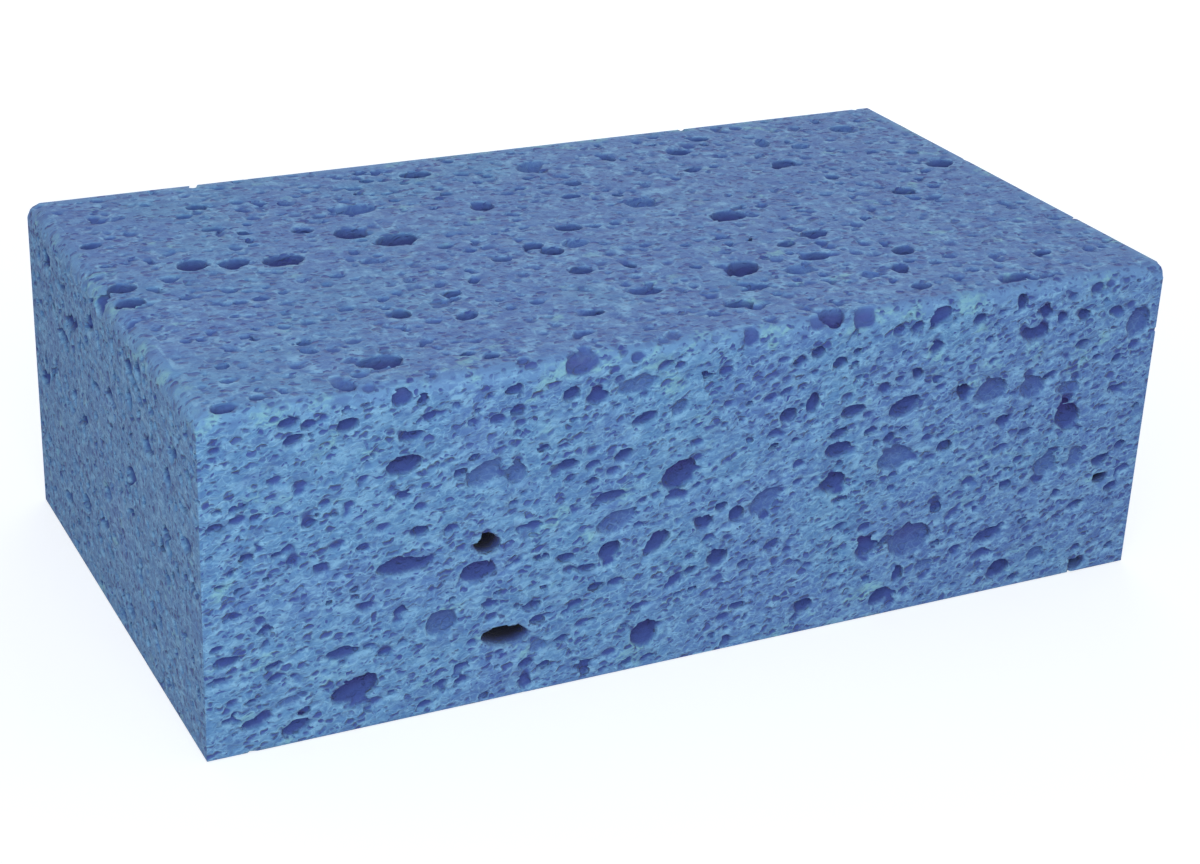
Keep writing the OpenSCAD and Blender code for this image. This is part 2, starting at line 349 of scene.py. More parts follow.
class SpongeColours(bpy.types.PropertyGroup):
    """Colours of the dry blue foam, from its outermost threads to the painted shade of its deepest
    pores.
    """

    # Also the painted highlight along pore rims and upper edges
    ridge: FloatVectorProperty(
        name="Threads",
        description="Pale outer threads between the pores",
        default=(0.30, 0.54, 0.76),
        subtype="COLOR",
    )
    worn: FloatVectorProperty(
        name="Worn Patches",
        description="Pale worn patches, mostly along the upper edges",
        default=(0.27, 0.52, 0.57),
        subtype="COLOR",
    )
    body: FloatVectorProperty(
        name="Cut Face",
        description="The cut face as a whole",
        default=(0.105, 0.235, 0.47),
        subtype="COLOR",
    )
    # The patches grow on the flat faces and towards the right end as painted shade
    patch: FloatVectorProperty(
        name="Cut Face Patches",
        description="Broad patches where the cut face leans towards violet",
        default=(0.098, 0.185, 0.45),
        subtype="COLOR",
    )
    # Painted shade in small pits and just inside pores
    wall: FloatVectorProperty(
        name="Pore Walls",
        description="Small pits, and walls just inside a pore",
        default=(0.058, 0.086, 0.31),
        subtype="COLOR",
    )
    # Painted shade at the bottoms of pores
    inside: FloatVectorProperty(
        name="Pore Floors",
        description="Bottoms of the ordinary pores",
        default=(0.078, 0.062, 0.27),
        subtype="COLOR",
    )
    # Painted shade, near black, deep in the holes
    deepest: FloatVectorProperty(
        name="Deep Holes",
        description="Bottoms of the few holes that run deep into the foam",
        default=(0.017, 0.016, 0.042),
        subtype="COLOR",
    )


class SpongeStudio(bpy.types.PropertyGroup):
    """The camera, the lights and the floor."""

    eye: FloatVectorProperty(
        name="Camera Place",
        description="Where the camera stands",
        default=(-182.9 * MM, -358.5 * MM, 207.7 * MM),
        subtype="TRANSLATION",
    )
    aim: FloatVectorProperty(
        name="Camera Turn",
        description="Which way the camera points",
        default=(math.radians(65.07), math.radians(-2.3), math.radians(-26.38)),
        subtype="EULER",
    )
    lens: FloatProperty(
        name="Focal Length",
        description="Focal length on a sensor 36 mm wide",
        default=71.15,
    )
    sky_colour: FloatVectorProperty(
        name="Sky Colour",
        description="Colour of the even light from all around, cooler than white",
        default=(0.78, 0.84, 1.0),
        subtype="COLOR",
    )
    sky: FloatProperty(
        name="Sky Strength",
        description="Strength of the even light from all around",
        default=0.55,
    )
    key: FloatProperty(
        name="Key Power",
        description="Power of the large soft lamp above the front",
        default=1.65,
        subtype="POWER",
    )
    fill: FloatProperty(
        name="Fill Power",
        description="Power of the weaker lamp behind the block",
        default=1.2,
        subtype="POWER",
    )
    floor: FloatVectorProperty(
        name="Floor",
        description="Colour of the pale floor",
        default=(0.5, 0.5, 0.52),
        subtype="COLOR",
    )


class Nodes:
    """A node tree, and short ways to add linked nodes to it."""

    def __init__(self, tree):
        self.tree = tree

    def add(self, kind, inputs=None, **settings):
        node = self.tree.nodes.new(kind)
        for name, value in settings.items():
            setattr(node, name, value)
        for name, value in (inputs or {}).items():
            self.feed(node.inputs[name], value)
        return node

    def feed(self, socket, value):
        if isinstance(value, bpy.types.NodeSocket):
            self.tree.links.new(value, socket)
        else:
            socket.default_value = value

    def math(self, operation, *values):
        node = self.tree.nodes.new("ShaderNodeMath")
        node.operation = operation
        for socket, value in zip(node.inputs, values):
            self.feed(socket, value)
        return node.outputs["Value"]

    def vector(self, operation, *values):
        node = self.tree.nodes.new("ShaderNodeVectorMath")
        node.operation = operation
        sockets = [s for s in node.inputs if s.enabled]
        for socket, value in zip(sockets, values):
            self.feed(socket, value)
        return next(s for s in node.outputs if s.enabled)

    def ramp(self, value, low, high, to_low=0.0, to_high=1.0):
        """value from low to high, taken smoothly to the range to_low to to_high."""
        inputs = {"Value": value, "From Min": low, "From Max": high}
        inputs.update({"To Min": to_low, "To Max": to_high})
        node = self.add("ShaderNodeMapRange", inputs, interpolation_type="SMOOTHSTEP")
        return node.outputs["Result"]


def parts_of(tree, vector):
    """The three parts of a vector, as sockets."""
    return tree.add("ShaderNodeSeparateXYZ", {"Vector": vector}).outputs


def turned_round_y(tree, place, angle):
    """A place turned round the axis that runs through the block from front to back."""
    inputs = {"Vector": place, "Angle": angle}
    return tree.add("ShaderNodeVectorRotate", inputs, rotation_type="Y_AXIS").outputs["Vector"]


def random_warp(tree, place, wavelength, reach):
    """A vector that wanders by up to half of reach each way over a wavelength."""
    inputs = {"Vector": place, "Scale": 1 / wavelength, "Detail": 1.0}
    noise = tree.add("ShaderNodeTexNoise", inputs, noise_dimensions="3D")
    centred = tree.vector("SUBTRACT", noise.outputs["Color"], (0.5, 0.5, 0.5))
    return tree.vector("SCALE", centred, reach)


def distance_from_hull(tree, hull, place):
    """Distance from a convex mesh, below zero inside it, and the direction out of its nearest face."""
    near = tree.add("GeometryNodeProximity", target_element="FACES")
    tree.feed(near.inputs[0], hull)
    tree.feed(near.inputs["Sample Position"], place)
    side = tree.add("GeometryNodeSampleNearestSurface", data_type="FLOAT_VECTOR")
    tree.feed(side.inputs["Mesh"], hull)
    tree.feed(side.inputs["Value"], tree.add("GeometryNodeInputNormal").outputs["Normal"])
    tree.feed(side.inputs["Sample Position"], place)
    away = tree.vector("SUBTRACT", place, near.outputs["Position"])
    sign = tree.math("SIGN", tree.vector("DOT_PRODUCT", away, side.outputs["Value"]))
    return tree.math("MULTIPLY", near.outputs["Distance"], sign), side.outputs["Value"]


def depth_in_box(tree, place):
    """Distances of a place below the block's nearest end, side and flat face, as a vector."""
    middle = (BLOCK_LOW + BLOCK_HIGH) / 2
    half = (BLOCK_HIGH - BLOCK_LOW) / 2
    from_middle = tree.vector("ABSOLUTE", tree.vector("SUBTRACT", place, middle[:]))
    return tree.vector("SUBTRACT", half[:], from_middle)


def bubble_distance(tree, place, cell, size, look, shift):
    """Distance from random stretched bubbles that are open to a face, below zero inside them."""
    low, high = size.radii
    offset = tree.add("ShaderNodeCombineXYZ", {"X": shift, "Y": shift, "Z": shift}).outputs["Vector"]
    shifted = tree.vector("ADD", place, offset)
    round_place = tree.vector("DIVIDE", turned_round_y(tree, shifted, look["turn"]), look["stretch"])
    inputs = {"Vector": round_place, "Scale": tree.math("DIVIDE", 1.0, cell), "Randomness": 1.0}
    cells = tree.add("ShaderNodeTexVoronoi", inputs, voronoi_dimensions="3D", feature="F1")
    chance = parts_of(tree, cells.outputs["Color"])
    spread = tree.math("POWER", chance[0], SMALLER_POWER)
    radius = tree.math("MULTIPLY", tree.math("MULTIPLY_ADD", spread, high - low, low), cell)
    distance = tree.math("SUBTRACT", tree.math("MULTIPLY", cells.outputs["Distance"], cell), radius)
    flat_distance = tree.math("MULTIPLY", distance, STRETCHED_SHARE)

    # The bubble's middle, back in the block's own places, and how deep that lies
    middle = tree.vector("MULTIPLY", cells.outputs["Position"], look["stretch"])
    back = tree.math("MULTIPLY", look["turn"], -1.0)
    middle = tree.vector("SUBTRACT", turned_round_y(tree, middle, back), offset)
    depths = parts_of(tree, tree.vector("DIVIDE", depth_in_box(tree, middle), look["stretch"]))
    least = tree.math("MINIMUM", depths[0], depths[1])
    more = tree.math("MAXIMUM", depths[0], depths[1])
    second = tree.math("MAXIMUM", least, tree.math("MINIMUM", more, depths[2]))
    nearest_face = tree.math("MINIMUM", least, depths[2])
    buried = tree.math("GREATER_THAN", nearest_face, tree.math("MULTIPLY", radius, BURIED_SHARE))
    on_edge = tree.math("LESS_THAN", second, tree.math("MULTIPLY", radius, EDGE_SHARE))
    missing = tree.math("GREATER_THAN", chance[1], size.share)
    left_out = tree.math("MAXIMUM", tree.math("MAXIMUM", buried, on_edge), missing)
    return tree.math("ADD", flat_distance, left_out)


def pore_distance(tree, pores, place):
    """Distance from the bowl of the nearest of a group of pores, below zero inside it."""
    source = tree.add("GeometryNodeObjectInfo", {"Object": pores}).outputs["Geometry"]
    nearest = tree.add("GeometryNodeSampleNearest", domain="POINT")
    tree.feed(nearest.inputs["Geometry"], source)
    tree.feed(nearest.inputs["Sample Position"], place)

    def at_nearest(value, kind):
        sample = tree.add("GeometryNodeSampleIndex", data_type=kind, domain="POINT")
        tree.feed(sample.inputs["Geometry"], source)
        tree.feed(sample.inputs["Value"], value)
        tree.feed(sample.inputs["Index"], nearest.outputs["Index"])
        return sample.outputs["Value"]

    def stored(name, kind):
        named = tree.add("GeometryNodeInputNamedAttribute", {"Name": name}, data_type=kind)
        return at_nearest(named.outputs["Attribute"], kind)

    middle = at_nearest(tree.add("GeometryNodeInputPosition").outputs["Position"], "FLOAT_VECTOR")
    away = tree.vector("SUBTRACT", place, middle)
    directions = [stored(name, "FLOAT_VECTOR") for name in AXIS_NAMES]
    along, up, inward = [tree.vector("DOT_PRODUCT", away, direction) for direction in directions]
    flat = tree.add("ShaderNodeCombineXYZ", {"X": along, "Y": up})
    across = tree.math("POWER", tree.vector("LENGTH", flat.outputs["Vector"]), BOWL_POWER)
    down = tree.math("POWER", tree.math("ABSOLUTE", inward), BOWL_POWER)
    share = tree.math("POWER", tree.math("ADD", across, down), 1 / BOWL_POWER)
    return tree.math("MULTIPLY", tree.math("SUBTRACT", share, 1.0), stored(SCALE_NAME, "FLOAT"))


def modifier_tree(name, source, inputs):
    """A tree for a modifier, with named inputs, and those inputs as sockets."""
    tree = Nodes(bpy.data.node_groups.new(name, "GeometryNodeTree"))
    tree.tree.is_modifier = True
    face = tree.tree.interface
    face.new_socket(source, in_out="INPUT", socket_type="NodeSocketGeometry")
    for label, kind in inputs:
        face.new_socket(label, in_out="INPUT", socket_type=kind)
    face.new_socket("Foam Block", in_out="OUTPUT", socket_type="NodeSocketGeometry")
    return tree, tree.add("NodeGroupInput").outputs


def hollows_at(tree, given, place, outward):
    """Distances from the listed pores and from two sizes of random bubbles, below zero inside them."""
    # Rims wander along the cut faces, and the faces themselves stay flat
    wander = random_warp(tree, place, RIM_LENGTH, given["Ragged Rims"])
    across = tree.vector("SCALE", outward, tree.vector("DOT_PRODUCT", wander, outward))
    ragged_place = tree.vector("ADD", place, tree.vector("SUBTRACT", wander, across))
    hollows = [pore_distance(tree, given[group[0]], ragged_place) for group in PORE_GROUPS]

    # Random bubbles lie between the listed pores
    look = {"stretch": given["Bubble Stretch"], "turn": given["Bubble Tilt"]}
    wobble = tree.vector("ADD", place, random_warp(tree, place, WOBBLE_LENGTH, WOBBLE_REACH))
    shift = tree.math("MULTIPLY", given["Seed"], SEED_SHIFT)
    for size in BUBBLE_SIZES:
        moved = tree.math("ADD", shift, size.shift)
        hollows.append(bubble_distance(tree, wobble, given[size.spacing], size, look, moved))
    return hollows


def foam_tree():
    """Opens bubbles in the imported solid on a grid, and draws one surface around what is left."""
    inputs = (("Grid Step", "NodeSocketFloat"), *FOAM_INPUTS, ("Foam", "NodeSocketMaterial"))
    tree, given = modifier_tree("Foam Block", "Solid", inputs)
    step = given["Grid Step"]
    place = tree.add("GeometryNodeInputPosition").outputs["Position"]
    hull = tree.add("GeometryNodeConvexHull", {"Geometry": given["Solid"]}).outputs["Convex Hull"]
    outside, outward = distance_from_hull(tree, hull, place)
    for hollow in hollows_at(tree, given, place, outward):
        outside = tree.math("SMOOTH_MAX", outside, tree.math("MULTIPLY", hollow, -1.0), ROUNDING)

    # The foam's surface lies where its density is one half
    fall = tree.math("MULTIPLY", step, FALL_STEPS)
    density = tree.math("SUBTRACT", 0.5, tree.math("DIVIDE", outside, fall))
    low = [c - GRID_MARGIN for c in BLOCK_LOW]
    high = [c + GRID_MARGIN for c in BLOCK_HIGH]
    counts = [tree.math("DIVIDE", b - a, step) for a, b in zip(low, high)]
    inputs = {"Density": density, "Min": low, "Max": high}
    inputs.update({"Resolution " + axis: count for axis, count in zip("XYZ", counts)})
    cube = tree.add("GeometryNodeVolumeCube", inputs)
    surface = tree.add("GeometryNodeVolumeToMesh", {"Volume": cube.outputs["Volume"], "Threshold": 0.5})

    # Loose crumbs go: only the island with the most points stays
    island = tree.add("GeometryNodeInputMeshIsland").outputs["Island Index"]
    one_each = {"Value": 1.0, "Group ID": island}
    count = tree.add("GeometryNodeAccumulateField", one_each, data_type="FLOAT")
    most = tree.add("GeometryNodeAttributeStatistic", data_type="FLOAT", domain="POINT")
    tree.feed(most.inputs["Geometry"], surface.outputs["Mesh"])
    tree.feed(most.inputs["Attribute"], count.outputs["Total"])
    crumb = tree.math("LESS_THAN", count.outputs["Total"], most.outputs["Max"])
    whole = tree.add("GeometryNodeDeleteGeometry", domain="POINT")
    tree.feed(whole.inputs["Geometry"], surface.outputs["Mesh"])
    tree.feed(whole.inputs["Selection"], crumb)
    plain = tree.add("GeometryNodeRealizeInstances", {"Geometry": whole.outputs["Geometry"]})
    finished = tree.add("GeometryNodeSetMaterial", {"Geometry": plain.outputs["Geometry"]})
    tree.feed(finished.inputs["Material"], given["Foam"])
    tree.feed(tree.add("NodeGroupOutput").inputs["Foam Block"], finished.outputs["Geometry"])
    return tree.tree


def depth_tree():
    """Writes what the material reads at each point, such as its depth below the skin, scaled for
    painted shade.
    """
    tree, given = modifier_tree("Pore Depth", "Foam Block", FOAM_INPUTS)
    foam = given["Foam Block"]
    hull = tree.add("GeometryNodeConvexHull", {"Geometry": foam}).outputs["Convex Hull"]
    place = tree.add("GeometryNodeInputPosition").outputs["Position"]
    outside, outward = distance_from_hull(tree, hull, place)
    depth = tree.math("ABSOLUTE", outside)
    in_hole = tree.math("LESS_THAN", pore_distance(tree, given[HOLE_GROUP], place), HOLE_REACH)
    skin = tree.vector("ADD", place, tree.vector("SCALE", outward, depth))
    # Painted shade: walls that face up look shallower, and walls that face down and pores of the flat
    # faces deeper
    tilt = parts_of(tree, tree.add("GeometryNodeInputNormal").outputs["Normal"])[2]
    flatness = tree.math("ABSOLUTE", parts_of(tree, outward)[2])
    side_tilt = tree.math("MULTIPLY", tilt, tree.math("SUBTRACT", 1.0, flatness))
    by_tilt = tree.math("MULTIPLY_ADD", side_tilt, -PAINTED_SHADE_GAIN, 1.0)
    shaded = tree.math("MULTIPLY_ADD", flatness, PAINTED_SHADE_GAIN, by_tilt)
    hollows = hollows_at(tree, given, skin, outward)
    nearest = hollows[0]
    for hollow in hollows[1:]:
        nearest = tree.math("MINIMUM", nearest, hollow)
    in_hollow = tree.ramp(pore_distance(tree, given[HOLLOW_GROUP], place), HOLLOW_REACH, 0.0)
    for name, value in (
        (SHADED_DEPTH_NAME, tree.math("MULTIPLY", depth, shaded)),
        (HOLE_NAME, tree.math("MULTIPLY", depth, in_hole)),
        (EDGE_NAME, nearest),
        (HOLLOW_NAME, in_hollow),
        (FLAT_NAME, flatness),
    ):
        stored = tree.add("GeometryNodeStoreNamedAttribute", data_type="FLOAT", domain="POINT")
        tree.feed(stored.inputs["Geometry"], foam)
        tree.feed(stored.inputs["Name"], name)
        tree.feed(stored.inputs["Value"], value)
        foam = stored.outputs["Geometry"]
    tree.feed(tree.add("NodeGroupOutput").inputs["Foam Block"], foam)
    return tree.tree


def set_inputs(modifier, values):
    """Sets a modifier's inputs, found by their names, through the identifiers of their sockets."""
    for item in modifier.node_group.interface.items_tree:
        if item.in_out == "INPUT" and item.name in values:
            modifier[item.identifier] = values[item.name]


def make_plain(piece):
    """Applies all of a piece's modifiers to its mesh."""
    evaluated = piece.evaluated_get(bpy.context.evaluated_depsgraph_get())
    mesh = bpy.data.meshes.new_from_object(evaluated)
    piece.modifiers.clear()
    piece.data = mesh


def merged_copy(node, name):
    """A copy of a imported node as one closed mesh."""
    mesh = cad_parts[node].data.copy()
    piece = bpy.data.objects.new(name, mesh)
    bpy.context.scene.collection.objects.link(piece)
    weld = piece.modifiers.new("Weld", "WELD")
    weld.merge_threshold = SAME_POINT
    make_plain(piece)
    return piece


def pit_layer(tree, place, layer):
    """Random pits of one size: how far a place lies in one, weighed by how open that pit is and by
    painted shade.
    """
    shifted = tree.vector("ADD", place, layer.shift)
    inputs = {"Vector": shifted, "Scale": 1 / layer.cell, "Randomness": 1.0}
    cells = tree.add("ShaderNodeTexVoronoi", inputs, voronoi_dimensions="3D", feature="F1")
    chance = parts_of(tree, cells.outputs["Color"])
    radius = tree.math("MULTIPLY_ADD", chance[0], layer.largest - layer.smallest, layer.smallest)
    outside = tree.math("SUBTRACT", cells.outputs["Distance"], radius)
    pit = tree.ramp(outside, layer.soft, -layer.soft)
    opened = tree.ramp(chance[1], layer.closed, OPEN_CHANCE, CLOSED_TRACE, 1.0)
    # Painted shade: the pit darkens towards its upper rim, and on the top towards its back rim
    away = tree.vector("SUBTRACT", shifted, cells.outputs["Position"])
    side = tree.vector("DOT_PRODUCT", away, SHADE_SIDE)
    shade = tree.ramp(tree.math("DIVIDE", side, layer.cell), *SHADE_SPAN, *SHADE_SHARES)
    return tree.math("MULTIPLY", pit, tree.math("MULTIPLY", opened, shade))


def thread_net(tree, place, cell, width):
    """The foam's threads as a net around random cells: 1 on a thread, and 0 past its width."""
    inputs = {"Vector": place, "Scale": 1 / cell, "Randomness": 1.0}
    net = tree.add("ShaderNodeTexVoronoi", inputs, voronoi_dimensions="3D", feature="DISTANCE_TO_EDGE")
    return tree.ramp(net.outputs["Distance"], width, 0.0)


def mix_colour(tree, share, first, second):
    """The first colour, taken towards the second by a share."""
    node = tree.add("ShaderNodeMix", data_type="RGBA")
    colours = [s for s in node.inputs if s.type == "RGBA"]
    tree.feed(node.inputs["Factor"], share)
    tree.feed(colours[0], first)
    tree.feed(colours[1], second)
    return next(s for s in node.outputs if s.type == "RGBA")


def stored_value(tree, name):
    """A value that the piece carries at its points."""
    return tree.add("ShaderNodeAttribute", attribute_name=name).outputs["Fac"]


def stored_length(tree, name):
    """A length that the piece carries at its points, in millimetres."""
    return tree.math("MULTIPLY", stored_value(tree, name), MILLIMETRES)


def noise_value(tree, place, scale, detail=1.0, roughness=0.5):
    """Smooth noise from about 0.2 to 0.8."""
    inputs = {"Vector": place, "Scale": scale, "Detail": detail, "Roughness": roughness}
    return tree.add("ShaderNodeTexNoise", inputs).outputs["Fac"]


def less_on_flat(tree, flat, loss, most=1.0):
    """A share that is most on the upright faces, and lower by loss on the flat ones."""
    return tree.math("MULTIPLY_ADD", flat, -loss, most)


def foam_material(colours):
    """Dry cellulose foam: a pale net of threads, painted highlights, and violet painted shade in fine
    pits of three sizes and in pores.
    """
    material = bpy.data.materials.new("Blue Cellulose Foam")
    material.use_nodes = True
    tree = Nodes(material.node_tree)
    shader = material.node_tree.nodes["Principled BSDF"]
    place = tree.add("ShaderNodeTexCoord").outputs["Object"]
    scaled = tree.vector("SCALE", place, MILLIMETRES)
    turned = turned_round_y(tree, scaled, GRAIN_TURN)
    wobble = tree.vector("ADD", turned, random_warp(tree, scaled, THREAD_WANDER, THREAD_WANDER))
    grain = tree.vector("DIVIDE", wobble, GRAIN_STRETCH)
    flat = stored_value(tree, FLAT_NAME)
    calm = less_on_flat(tree, flat, CALM_LOSS)

    # The net and the pits are too fine to be cut into the mesh
    net = tree.math("MULTIPLY", thread_net(tree, grain, NET_CELL, NET_WIDTH), calm)
    along_streaks = tree.vector("DIVIDE", wobble, STREAK_STRETCH)
    streaks = noise_value(tree, along_streaks, STREAK_SCALE, detail=3.0, roughness=0.7)
    streak = tree.ramp(streaks, *STREAK_NOISE)
    pits = [pit_layer(tree, grain, layer) for layer in PIT_LAYERS]
    finest = tree.math("MULTIPLY", pits[2], calm)
    pans = tree.math("MULTIPLY", pit_layer(tree, grain, PAN_LAYER), PAN_SHARE)

    # How far a place lies in a pore, scaled for painted shade, and how near outside its rim
    depth = stored_length(tree, SHADED_DEPTH_NAME)
    edge = stored_length(tree, EDGE_NAME)
    hollow = stored_value(tree, HOLLOW_NAME)
    on_face = less_on_flat(tree, flat, FLAT_LOSS, PORE_SHARE)
    openness = tree.math("MULTIPLY_ADD", hollow, -HOLLOW_LOSS, on_face)
    by_rim = tree.math("MULTIPLY", tree.ramp(edge, *RIM_TO_WALL), tree.ramp(depth, *RIM_WALL_DEPTH))
    inside = tree.math("MAXIMUM", by_rim, tree.ramp(depth, *WALL_DEPTH))
    inside = tree.math("MULTIPLY", inside, openness)
    floor_openness = tree.math("POWER", openness, FLOOR_POWER)
    floor_share = tree.math("MULTIPLY", tree.ramp(depth, *FLOOR_DEPTH), floor_openness)
    # Painted shade: deep holes go near black with their depth
    painted_hole_shade = tree.ramp(stored_length(tree, HOLE_NAME), *DARK_DEPTH)
    # Painted highlight: a pale band just outside a pore's rim
    rim = tree.math("MULTIPLY", tree.ramp(edge, *PALE_RIM), tree.ramp(depth, *PALE_RIM_DEPTH))

    # Upper edges get a painted highlight, and a few patches, more of them near those edges, are worn
    # pale
    below_top = tree.math("SUBTRACT", BLOCK_HIGH[2] / MM, parts_of(tree, scaled)[2])
    sides = parts_of(tree, tree.vector("SCALE", depth_in_box(tree, place), MILLIMETRES))
    to_side = tree.math("MINIMUM", sides[0], sides[1])
    near_edge = tree.ramp(tree.math("MAXIMUM", below_top, to_side), *EDGE_BAND)
    along_worn = tree.vector("DIVIDE", wobble, WORN_STRETCH)
    worn_noise = noise_value(tree, along_worn, 1 / WORN_LENGTH, detail=2.0)
    wear = tree.math("ADD", worn_noise, tree.math("MULTIPLY", near_edge, EDGE_WEAR))
    worn = tree.math("MULTIPLY", tree.ramp(wear, *WORN_NOISE), streak)

    # Colour: the cut face first, with painted shade that makes it more violet on the flat faces and
    # towards the right end
    to_right = tree.math("MULTIPLY", parts_of(tree, scaled)[0], RIGHT_LEAN)
    painted_shade_lean = tree.math("ADD", to_right, tree.math("MULTIPLY", flat, FLAT_LEAN))
    patches = tree.math("ADD", noise_value(tree, scaled, 1 / PATCH_LENGTH), painted_shade_lean)
    patch = tree.ramp(patches, *PATCH_NOISE)
    face_colour = mix_colour(tree, patch, (*colours.body, 1), (*colours.patch, 1))

    # Then the pale threads, and the painted highlight along the rims and upper edges
    light = tree.math("MULTIPLY", tree.math("MAXIMUM", net, rim), THREAD_SHARE)
    by_streak = tree.math("MULTIPLY_ADD", streak, 1 - BETWEEN_STREAKS, BETWEEN_STREAKS)
    light = tree.math("MULTIPLY", light, by_streak)
    light = tree.math("MAXIMUM", light, tree.math("MULTIPLY", streak, STREAK_SHARE))
    # Painted highlight along the upper edges
    light = tree.math("MAXIMUM", light, tree.math("MULTIPLY", near_edge, EDGE_HIGHLIGHT))
    face_colour = mix_colour(tree, light, face_colour, (*colours.ridge, 1))
    worn_share = tree.math("MULTIPLY", worn, WORN_SHARE)
    face_colour = mix_colour(tree, worn_share, face_colour, (*colours.worn, 1))

    # Then the violet painted shade of pits and pores, near black in the deep holes
    cut = finest
    for shallow in (pits[0], pits[1], pans):
        cut = tree.math("MAXIMUM", cut, shallow)
    cut = tree.math("MULTIPLY", cut, tree.ramp(edge, *PIT_FADE, *PIT_SHARES))
    violet = tree.math("MAXIMUM", cut, inside)
    colour = mix_colour(tree, violet, face_colour, (*colours.wall, 1))
    colour = mix_colour(tree, floor_share, colour, (*colours.inside, 1))
    colour = mix_colour(tree, painted_hole_shade, colour, (*colours.deepest, 1))
    tree.feed(shader.inputs["Base Color"], colour)

    # Relief in millimetres
    relief = tree.math("MULTIPLY", streaks, STREAK_HEIGHT)
    for pit, layer in zip(pits, PIT_LAYERS):
        relief = tree.math("SUBTRACT", relief, tree.math("MULTIPLY", pit, layer.drop))
    relief = tree.math("MULTIPLY", relief, calm)
    bump = tree.add("ShaderNodeBump", {"Height": relief, "Strength": 1.0, "Distance": MM})
    tree.feed(shader.inputs["Normal"], bump.outputs["Normal"])
    for name, value in FOAM_SURFACE.items():
        shader.inputs[name].default_value = value
    return material


def face_axes(axis, side):
    """Directions along, up and into one of the block's faces, as rows."""
    inward = np.zeros(3)
    inward[axis] = -side
    along = np.array((0.0, 1.0, 0.0) if axis == 0 else (1.0, 0.0, 0.0))
    up = np.array((0.0, 1.0, 0.0) if axis == 2 else (0.0, 0.0, 1.0))
    return along, up, inward


def solid_pores(piece):
    """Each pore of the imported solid, measured on the fan of faces around the tip of its bottom."""
    pores = []
    mesh = bmesh.new()
    mesh.from_mesh(piece.data)
    for tip in mesh.verts:
        fan = np.array([edge.other_vert(tip).co - tip.co for edge in tip.link_edges])
        level = [k for k in range(3) if np.ptp(fan[:, k]) < FLAT_TO and abs(fan[0, k]) > LEAST_STEP]
        if len(level) != 1:
            continue
        axis = level[0]
        middle = fan.mean(axis=0)
        rest = [k for k in range(3) if k != axis]
        if np.hypot(*middle[rest]) > max(OFF_SHARE * abs(middle[axis]), LEAST_OFF):
            continue
        side = math.copysign(1.0, middle[axis])
        face = BLOCK_HIGH[axis] if side > 0 else BLOCK_LOW[axis]
        depth = abs(face - tip.co[axis])
        along, up, inward = face_axes(axis, side)

        # The points lie on an ellipse a little above the tip. Their spread gives its half sizes, and
        # the bowl's own shape gives those of its mouth.
        below = 1 - abs(middle[axis]) / depth
        flat = np.stack((fan @ along, fan @ up))
        values, vectors = np.linalg.eigh(np.cov(flat, bias=True))
        halves = np.sqrt(2 * values) / (1 - below**BOWL_POWER) ** (1 / BOWL_POWER)
        mouth = np.array(tip.co)
        mouth[axis] = face
        turn = math.atan2(vectors[1, 1], vectors[0, 1])
        pores.append(Pore(mouth, halves[1], halves[0], depth, turn, (along, up, inward)))
    mesh.free()
    return pores


def listed_pores(depth_share, turn):
    """The small pores that were read from the photograph, in the same form."""
    left, front, bottom = BLOCK_LOW
    back = BLOCK_HIGH[1]
    top = BLOCK_HIGH[2]
    pores = []
    for across, up, length, height in FRONT_PORES:
        mouth = np.array((left + across * MM, front, bottom + up * MM))
        pores.append((mouth, length, height, turn, face_axes(1, -1)))
    for across, up, length, height in TOP_PORES:
        mouth = np.array((left + across * MM, front + up * MM, top))
        pores.append((mouth, length, height, turn, face_axes(2, 1)))
    for across, up, length, height in LEFT_PORES:
        mouth = np.array((left, back - across * MM, bottom + up * MM))
        pores.append((mouth, length, height, 0.0, face_axes(0, -1)))
    return [
        Pore(mouth, length * MM / 2, height * MM / 2, height * MM * depth_share, turned, axes)
        for mouth, length, height, turned, axes in pores
    ]


def pore_points(name, pores, lean):
    """A group of pores as loose points, each with the three directions of its bowl."""
    rows = {axis: [] for axis in AXIS_NAMES}
    scales = []
    for pore in pores:
        along, up, inward = pore.axes
        long_way = along * math.cos(pore.turn) + up * math.sin(pore.turn)
        short_way = up * math.cos(pore.turn) - along * math.sin(pore.turn)
        slope = np.array(lean) * min(1.0, 2 * pore.half_height / pore.depth)
        rows[AXIS_NAMES[0]].append((long_way - inward * (long_way @ slope)) / pore.half_length)
        rows[AXIS_NAMES[1]].append((short_way - inward * (short_way @ slope)) / pore.half_height)
        rows[AXIS_NAMES[2]].append(inward / pore.depth)
        scales.append(min(pore.half_height, pore.depth))
    mesh = bpy.data.meshes.new(name)
    mesh.from_pydata([pore.mouth for pore in pores], [], [])
    for axis, vectors in rows.items():
        attribute = mesh.attributes.new(axis, "FLOAT_VECTOR", "POINT")
        attribute.data.foreach_set("vector", np.ravel(vectors))
    mesh.attributes.new(SCALE_NAME, "FLOAT", "POINT").data.foreach_set("value", scales)
    points = bpy.data.objects.new(name, mesh)
    bpy.context.scene.collection.objects.link(points)
    return points


def grouped_pores(pores, lean):
    """The pores in groups of like size, as one object of points for each group."""
    groups = {}
    left = pores
    for name, fits_group in PORE_GROUPS:
        fits = [pore for pore in left if fits_group(pore)]
        left = [pore for pore in left if not fits_group(pore)]
        groups[name] = pore_points(name.lower().replace(" ", "_"), fits, lean)
    return groups


